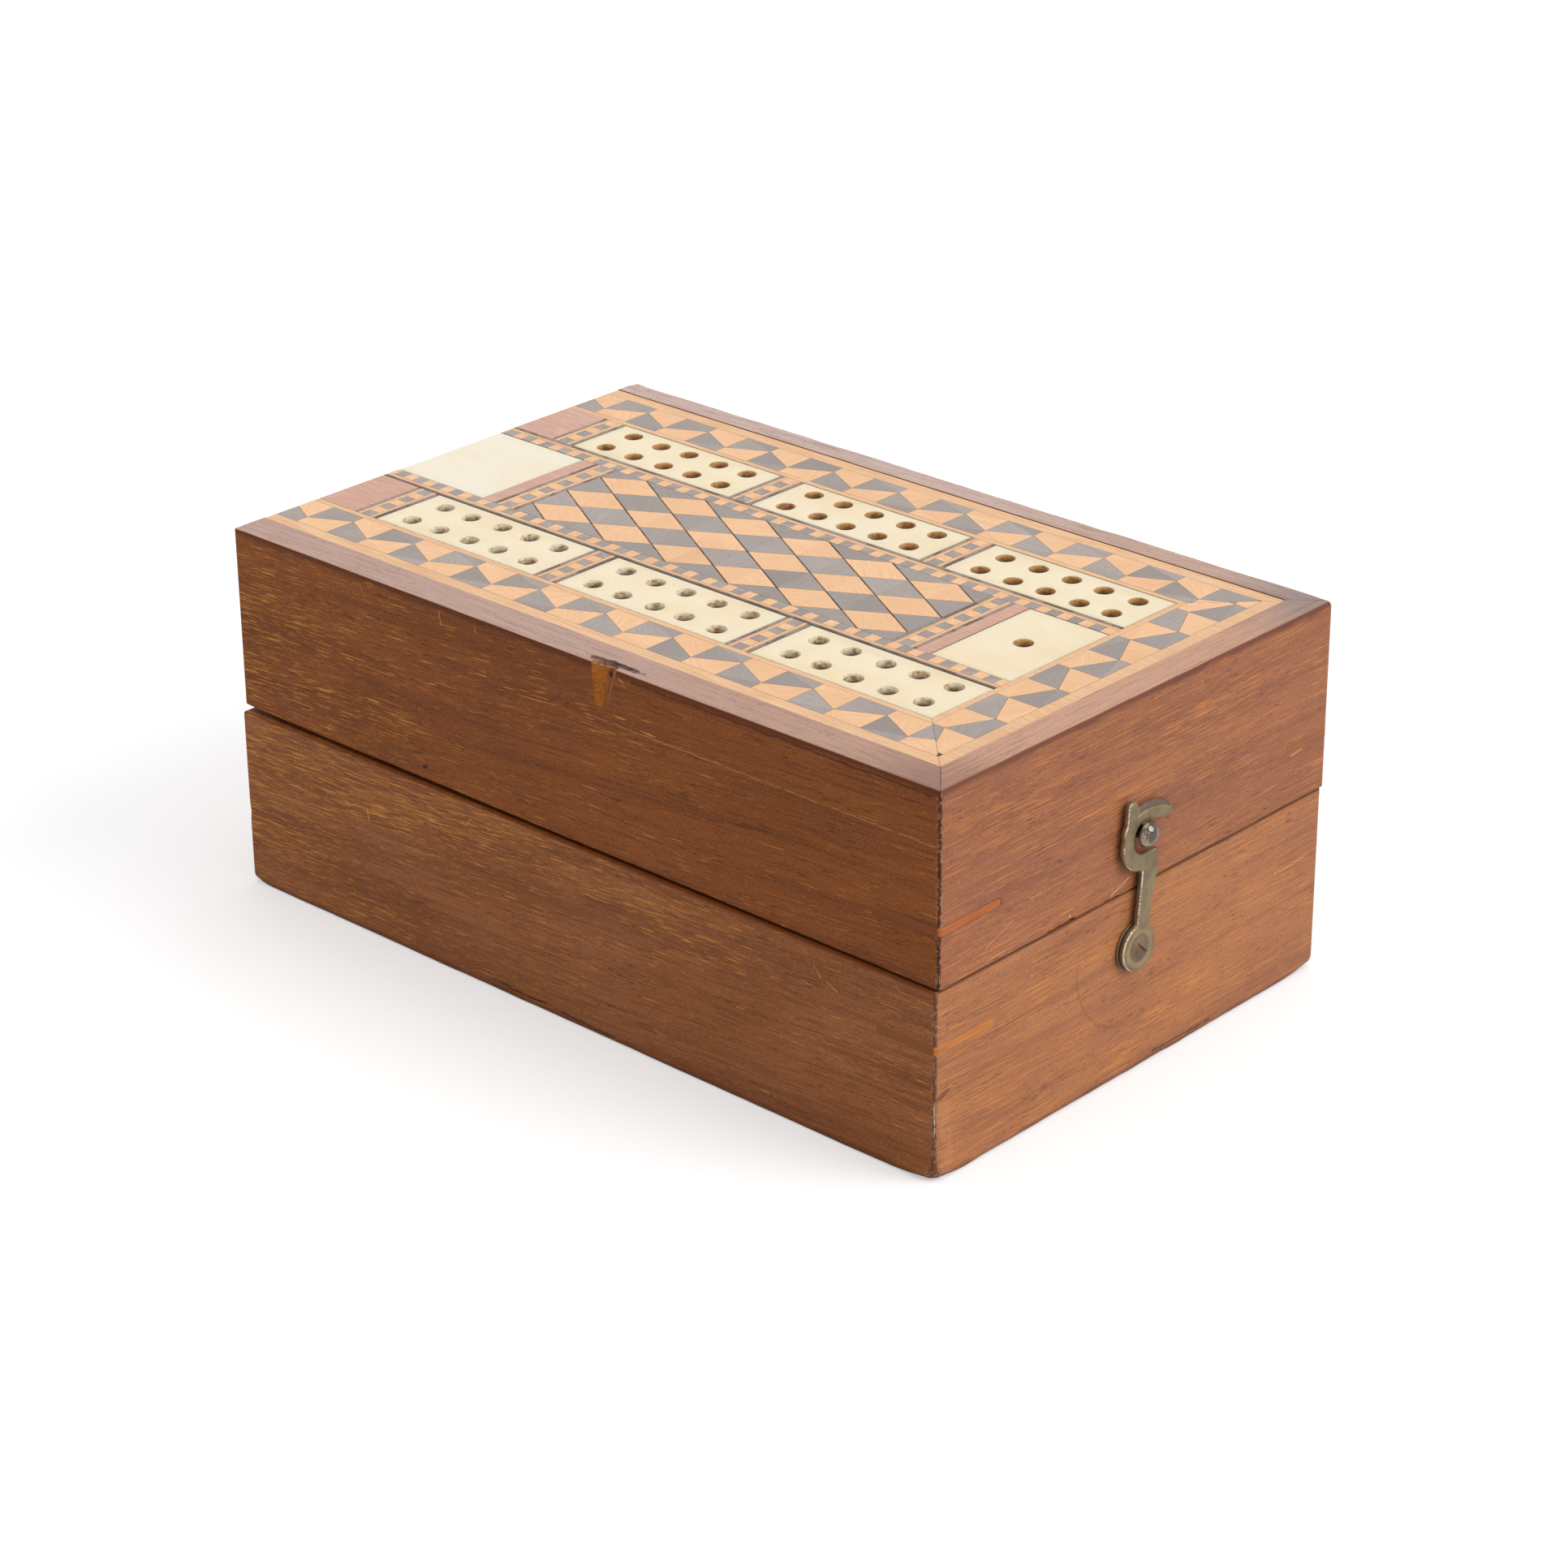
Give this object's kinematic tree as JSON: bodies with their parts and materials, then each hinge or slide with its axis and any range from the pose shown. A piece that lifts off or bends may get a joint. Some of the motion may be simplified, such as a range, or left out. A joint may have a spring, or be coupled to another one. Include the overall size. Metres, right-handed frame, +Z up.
{
  "type": "folding cribbage board",
  "caption": "Folding cribbage board: two shallow wooden cases with inlaid geometric faces and drilled bone peg plates, hinged at one end and closed by a brass swing hook",
  "frame": {"origin": "the middle of the closed box's underside", "axes": "+X runs along the box from the hinges to the hook, +Y from the front to the back, +Z up"},
  "size_m": [0.1907, 0.1148, 0.0774],
  "materials": {
    "case_wood": "worn red-brown polish",
    "key_wood": "worn polish",
    "ground_wood": "bare wood",
    "bone": null,
    "dark_inlay": "polished dark wood",
    "light_inlay": "polished light wood",
    "red_inlay": "polished red wood",
    "brass": "aged, with worn edges"
  },
  "bodies": {
    "base": {"base_front_wall": "case_wood", "base_back_wall": "case_wood", "base_latch_wall": "case_wood", "base_hinge_wall": "case_wood", "base_mitre_keys": "key_wood", "base_ground": "ground_wood", "base_peg_plates": "bone", "base_game_plate": "bone", "base_blank_plates": "bone", "base_dark_kites": "dark_inlay", "base_light_kites": "light_inlay", "base_light_strings": "light_inlay", "base_light_lines": "light_inlay", "base_dark_lines": "dark_inlay", "base_dark_squares": "dark_inlay", "base_light_squares": "light_inlay", "base_dark_rhombs": "dark_inlay", "base_light_rhombs": "light_inlay", "base_red_blocks": "red_inlay", "hinge_leaves_base": "brass", "hinge_pins": "brass", "hinge_screws_base": "brass", "hook_washer": "brass", "hook_screw": "brass"},
    "lid": {"lid_front_wall": "case_wood", "lid_back_wall": "case_wood", "lid_latch_wall": "case_wood", "lid_hinge_wall": "case_wood", "lid_mitre_keys": "key_wood", "lid_ground": "ground_wood", "lid_peg_plates": "bone", "lid_game_plate": "bone", "lid_blank_plates": "bone", "lid_dark_kites": "dark_inlay", "lid_light_kites": "light_inlay", "lid_light_strings": "light_inlay", "lid_light_lines": "light_inlay", "lid_dark_lines": "dark_inlay", "lid_dark_squares": "dark_inlay", "lid_light_squares": "light_inlay", "lid_dark_rhombs": "dark_inlay", "lid_light_rhombs": "light_inlay", "lid_red_blocks": "red_inlay", "hinge_leaves_lid": "brass", "hinge_screws_lid": "brass", "catch_stud": "brass"},
    "hook": {"hook": "brass"}
  },
  "joints": [
    {"name": "lid_hinge", "type": "hinge", "parent": "base", "child": "lid", "pos_m": [-0.0922, 0, 0.0387], "axis": [0, -1, 0], "range_deg": [0, 180]},
    {"name": "hook_swing", "type": "hinge", "parent": "base", "child": "hook", "pos_m": [0.092, -0.0014, 0.027], "axis": [1, 0, 0], "range_deg": [0, 140]}
  ]
}
